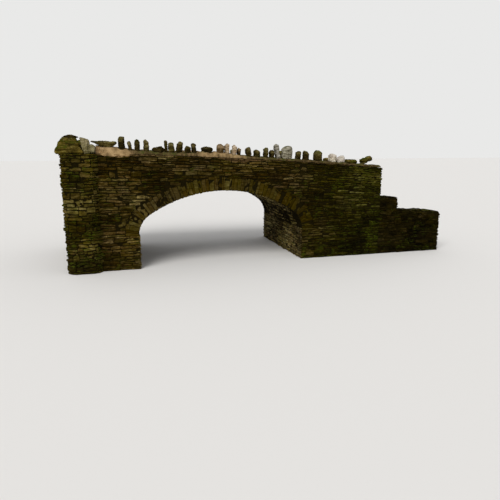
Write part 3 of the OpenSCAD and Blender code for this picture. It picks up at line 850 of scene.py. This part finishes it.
for k, (side, sign) in enumerate(sides):
    stones, rng = [], random.Random(141 + k)
    inward = Vector((0, -sign, 0))
    for i in range(bridge["ringStones"]):
        low, high = jointTurn(i), jointTurn(i + 1)
        out = (bridge["ringDepth"] + bridge["ringUneven"] * uneven(i, 3)
               + rng.uniform(*ringLook["ragged"]))
        throughs[side, i] = through = rng.uniform(*ringLook["through"])
        shares, turns = [0, 1], [low, high]
        if rng.random() < ringLook["short"]:
            shares.insert(1, rng.uniform(*ringLook["shortTo"]))
        if rng.random() < ringLook["thin"]:
            turns.insert(1, low + (high - low) * rng.uniform(0.4, 0.6))
        below = rng.uniform(*ringLook["low"])
        for left, right in zip(turns, turns[1:]):
            turn = (left + right) / 2
            radial = Vector((math.sin(turn), 0, math.cos(turn)))
            for start, end in zip(shares, shares[1:]):
                r0, r1 = out * start - (below if start == 0 else 0), out * end
                proud = rng.uniform(*ringLook["proud"])
                a, b = [math.dist(archPoint(left, r), archPoint(right, r)) for r in (r0, r1)]
                x, z = archPoint(turn, (r0 + r1) / 2)
                addStone(stones, (x, sign * (halfWidth + proud - (through + proud) / 2), z),
                         Matrix((inward.cross(radial), inward, radial)).transposed(),
                         ((a + b) / 2 - ringLook["joint"] * rng.uniform(0.4, 1.5), through + proud,
                          r1 - r0 - (0 if start == 0 else ringLook["joint"])),
                         limited(rng.gauss(ringTint(x), 0.17)),
                         anyStone(rng, "voussoir"), (b - a) / ((a + b) / 2))
    layStones("ring_stones_" + side, stones, "voussoir", stone["ring"],
              (0.13, 0.018, 0.007))

stones, rng, along = [], random.Random(151), Vector((0, 1, 0))
for i in range(bridge["ringStones"]):
    low, high = jointTurn(i), jointTurn(i + 1)
    turn = (low + high) / 2
    thick = math.dist(archPoint(low, 0), archPoint(high, 0))
    inward = Vector((math.sin(turn), 0, math.cos(turn)))
    axes = Matrix((along, inward, along.cross(inward))).transposed()
    y, stop = -halfWidth + throughs["downstream", i], halfWidth - throughs["upstream", i]
    while stop - y > 0.02:
        w, (shortest, longest) = rng.uniform(*vaultLook["length"]), vaultLook["length"]
        if stop - y - w < shortest:
            w = stop - y if stop - y < longest else (stop - y) / 2
        x, z = archPoint(turn, vaultLook["depth"] / 2 - rng.uniform(*vaultLook["proud"]))
        tilt = (Matrix.Rotation(rng.gauss(0, 0.02), 3, "Y")
                @ Matrix.Rotation(rng.gauss(0, 0.05), 3, "X"))
        addStone(stones, (x, y + w / 2, z), axes @ tilt,
                 (w - vaultLook["joint"], vaultLook["depth"], thick - vaultLook["joint"]),
                 limited(rng.gauss(0.5, 0.18)), anyStone(rng))
        y += w
for seed, sign in ((152, -1), (153, 1)):
    x = archX + sign * halfSpan
    addRubble(stones, {"path": [(x, sign * halfWidth), (x, -sign * halfWidth)], "height": springZ,
                       "spans": wholeSpan(2 * halfWidth, 0.015, 0.015)}, seed)
layStones("vault_stones", stones, "walling", stone["vault"], (0.12, 0.018, 0.007))
print("arch laid")


# Single stones of the coping and the caps: rounded, chipped copies of their solids

def looseIslands(mesh):
    # the vertices of each loose stone, from left to right
    a, b = np.array([e.vertices for e in mesh.edges]).T
    first, before = np.arange(len(mesh.vertices)), None
    while not np.array_equal(first, before):
        before = first.copy()
        np.minimum.at(first, a, first[b])
        np.minimum.at(first, b, first[a])
        first = first[first]
    return [np.flatnonzero(first == v)
            for v in sorted(np.unique(first), key=lambda v: mesh.vertices[v].co.x)]


def shapeStones(places, islands, look):
    # slants the top of each stone and gives it a tint, paler above
    rng, tints = random.Random(look["seed"]), np.zeros(len(places), np.float32)
    for k, island in enumerate(islands):
        chance = min(0.9, max(0, rng.gauss(0.40, 0.15)))
        slope = look["slant"] * random.Random(look["seed"] * 100 + k).uniform(-1, 1)
        x, z = places[island, 0], places[island, 2]
        up = (z - z.min()) / max(0.01, np.ptp(z))
        places[island, 2] += slope * (x - x.mean()) * np.clip((up - 0.3) / 0.5, 0, 1)
        tint = look["tints"][k] if k < len(look["tints"]) else chance
        tints[island] = tint + look["paleTop"] * max(0, 1 - tint) * np.clip(
            (up - 0.58) / 0.16, 0, 1)
    return tints


plainStone = {"tints": (), "paleTop": 0, "slant": 0, "age": lambda x: 0, "rise": lambda x: 0,
              "apron": lambda place: (0, 0, 0)}


def weatherSolid(name, nodes, finish, look):
    # merges the solids' loose triangles, remeshes them finely, then wears and roughens them
    look = {**plainStone, **look}
    bm = bmesh.new()
    for node in nodes:
        bm.from_mesh(frame["nodes"][node].data)
    bmesh.ops.remove_doubles(bm, verts=bm.verts, dist=0.0002)
    holder = hold(name + "_holder", meshOf(bm, name + "_solids"))
    remesh = holder.modifiers.new("remesh", "REMESH")
    remesh.mode, remesh.voxel_size = "VOXEL", look["grain"]
    worn = holder.modifiers.new("worn", "SMOOTH")
    worn.factor, worn.iterations = 0.5, look["wear"]
    mesh = applied(holder, name)
    places = np.array([v.co for v in mesh.vertices], float)
    normals = np.array([v.normal for v in mesh.vertices])
    layers = Vector([1 / size for size in look["layers"]])
    for k, normal in enumerate(normals):
        p = Vector(places[k])
        shift = (look["lump"] * noise.noise(p * (1 / look["lumpSize"]))
                 + look["step"] * (noise.cell(p * layers) - 0.5)
                 + look["chip"] * noise.fractal(p * 38, 1.0, 2.0, 2))
        places[k] += normal * shift + (0, 0, look["rise"](p.x) * max(0, normal[2]))
        places[k] += look["apron"](p)
    tints = shapeStones(places, looseIslands(mesh), look)
    mesh.vertices.foreach_set("co", places.ravel())
    addAttribute(mesh, "stoneTint", tints)
    addAttribute(mesh, "mortarAge", [look["age"](place[0]) for place in places])
    mesh.materials.append(finish)
    mesh.shade_smooth()
    mesh.update()
    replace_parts(showPiece(name, mesh), *nodes)


# layers: size of the split steps along, through and up; upright stones are split on edge
looseStone = {"grain": 0.012, "wear": 0, "lump": 0.016, "lumpSize": 0.10, "step": 0.012,
              "chip": 0.006, "layers": (0.034, 0.11, 0.13), "paleTop": 0.36, "slant": 0.5}
flatStone = {**looseStone, "layers": (0.12, 0.11, 0.034), "wear": 1, "slant": 0}
capRock = {"grain": 0.018, "wear": 3, "lump": 0.038, "lumpSize": 0.20, "step": 0.012,
           "chip": 0.007, "layers": (0.16, 0.14, 0.06)}
# piece, nodes, stone, form and tints of the single stones from left to right
copingPieces = [
    ("coping_long_slab", ["coping_slab"], "coping", flatStone, [0.42]),
    ("coping_stones_left", ["coping_uprights_left"], "coping", looseStone,
     [0.12, 0.34, 0.30, 0.54]),
    ("coping_stones_centre", ["coping_stones_middle"], "coping", looseStone,
     [0.26, 0.46, 0.20, 0.14, 0.26, 0.14]),
    ("coping_oval", ["coping_oval_stone"], "coping", flatStone, [0.12]),
    ("coping_stones_pale", ["coping_light_stones", "coping_flat_stones"], "tan", looseStone,
     [0.20, 0.72, 0.84, 0.02, 0.98, 0.99]),
    ("coping_stones_right", ["coping_uprights_right", "coping_block"], "coping", looseStone,
     [0.34, 0.22, 0.42, 0.30, 1.00, 0.99, 0.40, 0.34, 0.42]),
    ("coping_stones_green", ["coping_mossy_stone", "coping_slanted_stone"], "mossy", flatStone,
     [0.18, 0.24]),
    ("coping_stones_upstream", ["upstream_uprights_left", "upstream_uprights_right"], "coping",
     {**looseStone, "grain": 0.015}, []),
    ("coping_flats_upstream", ["upstream_flat_stones"], "mossy", {**flatStone, "grain": 0.015},
     []),
    ("cap_rock", ["cap_boulder"], "mossy", capRock, [0.38]),
    ("cap_rock_upstream", ["cap_boulder_upstream"], "mossy", capRock, []),
    ("cap_lens_stone", ["cap_top_stone"], "coping", flatStone, [0.2]),
    ("cap_pale_stones", ["pier_light_stones"], "pale", looseStone, [0.6, 0.34])]
for k, (name, nodes, look, form, tints) in enumerate(copingPieces):
    weatherSolid(name, nodes, stone[look],
                 {**form, "tints": tints, "seed": 171 + k})


# Mortar beds: sound next to the pier and at the oval stone, where they also rise more

mortarForm = {"grain": 0.020, "wear": 3, "lump": 0.022, "lumpSize": 0.16, "step": 0.0,
              "chip": 0.004, "layers": (0.1, 0.1, 0.1), "seed": 13}


def apron(place):
    # mortar that ran out and down over the top course near the pier
    low = max(0, 1 - (place.z - topZ(place.x)) / 0.08)
    front = min(1, max(0, (-halfWidth + 0.14 - place.y) / 0.1))
    run = low * front * plateau(place.x, -4.5, 0.42) * (
        1 + 0.5 * noise.noise((place.x * 9, 0, 4)))
    return 0, -0.035 * run, -0.065 * run


bedForms = {
    "downstream": {
        **mortarForm, "apron": apron,
        "age": lambda x: 1 - 0.95 * plateau(x, -4.55, 0.52) - 0.62 * plateau(x, -1.5, 0.80),
        "rise": lambda x: (0.012 + 0.035 * bell(x, -4.5, 0.22) + 0.03 * bell(x, -1.3, 0.5)
                           + 0.02 * noise.noise((x * 7, 0, 0)))},
    "upstream": {
        **mortarForm, "age": lambda x: 0.6 + 0.4 * noise.noise((x, 0, 5)),
        "rise": lambda x: 0.02 + 0.02 * noise.noise((x * 7, 3, 0))}}
for side, form in bedForms.items():
    weatherSolid("mortar_bed_" + side, ["coping_bed_" + side], bedMortar, form)
print("coping weathered")


# Loose stones trodden into the road

pebbleLook = {"kinds": 5, "uneven": (0.72, 1.1), "count": 1500, "size": (0.012, 0.045),
              "usual": 0.018,
              "tracks": (-1.3, -0.45, 0.45, 1.3)}     # they gather beside the wheel tracks
rng = random.Random(161)
stoneSets["pebbles"] = bpy.data.collections.new("pebbles")
for i in range(pebbleLook["kinds"]):
    bm = bmesh.new()
    bmesh.ops.create_icosphere(bm, subdivisions=1, radius=0.5)
    for v in bm.verts:
        v.co *= rng.uniform(*pebbleLook["uneven"])
    name = f"pebble_{i}"
    stoneSets["pebbles"].objects.link(bpy.data.objects.new(name, meshOf(bm, name)))
stones = []
for _ in range(pebbleLook["count"]):
    x = rng.uniform(px0 + 0.05, rightEnd - 0.05)
    y = rng.triangular(-roadHalf + 0.03, roadHalf - 0.03, rng.choice(pebbleLook["tracks"]))
    s = rng.triangular(*pebbleLook["size"], pebbleLook["usual"])
    turned = Matrix.Rotation(rng.uniform(0, 6.28), 3, "Z").transposed()
    addStone(stones, (x, y, roadZ(x) - s * 0.08), turned, (s * 1.3, s, s * 0.7), rng.random(),
             rng.randrange(pebbleLook["kinds"]))
layStones("road_pebbles", stones, "pebbles", stone["pale"], (0.05, 0.004, 0.001))


# The solids: those that stay are the cores behind the stones, and the road

finishOf = {"road_surface": roadGravel, **{"coping_bed_" + side: bedMortar for side, _ in sides},
            **{node: stone["coping"] for _, nodes, *_ in copingPieces for node in nodes}}
for node, solid in frame["nodes"].items():
    solid.data.materials.clear()
    solid.data.materials.append(finishOf.get(node, earthCore))
for group in stoneSets.values():
    for spare in list(group.objects):
        bpy.data.objects.remove(spare)
    bpy.data.collections.remove(group)
print("solids finished")


# Floor, light and camera

studio = {"floor": "#e4e1dc", "background": "#e9e9e8", "fillColor": "#f4f6fa", "fill": 0.62,
          "key": 2.1, "keyAngle": 35, "keyTurn": (48, 0, -38), "floorSize": 120}

floorPaint, tree, _, _ = startMaterial("pale_floor", ())
addNode(tree, "OutputMaterial", {"Surface": addNode(tree, "BsdfPrincipled", {
    "Base Color": linear(studio["floor"]), "Roughness": 0.9})})
bm = bmesh.new()
bmesh.ops.create_grid(bm, x_segments=1, y_segments=1, size=studio["floorSize"])
floor = hold("floor", meshOf(bm, "floor"))
floor.data.materials.append(floorPaint)

scene.world = bpy.data.worlds.new("studio")
scene.world.use_nodes = True
tree = scene.world.node_tree
tree.nodes.clear()
rays = addNode(tree, "LightPath").node.outputs
seen = rays["Is Camera Ray"]
for kind in ("Is Glossy Ray", "Is Transmission Ray"):
    seen = addNode(tree, "Math", (seen, rays[kind]), operation="MAXIMUM")
fillLight, backdrop = (
    addNode(tree, "Background", {"Color": linear(color), "Strength": strength})
    for color, strength in ((studio["fillColor"], studio["fill"]), (studio["background"], 1.0)))
addNode(tree, "OutputWorld", {"Surface": addNode(tree, "MixShader", (seen, fillLight, backdrop))})

keyLight = hold("key_light", bpy.data.lights.new("key_light", "SUN"))
keyLight.data.energy = studio["key"]
keyLight.data.angle = math.radians(studio["keyAngle"])
keyLight.rotation_euler = [math.radians(angle) for angle in studio["keyTurn"]]

view = {"place": (-4.555, -15.94, 3.48), "turn": 15.65, "down": 12.11, "lens": 34.56,
        "reach": 400}
camera = hold("camera", bpy.data.cameras.new("camera"))
camera.location = view["place"]
camera.rotation_euler = (math.radians(90 - view["down"]), 0, -math.radians(view["turn"]))
camera.data.lens = view["lens"]
camera.data.clip_end = view["reach"]
bpy.context.scene.camera = camera
scene.view_settings.view_transform = "Standard"

print("scene ready")
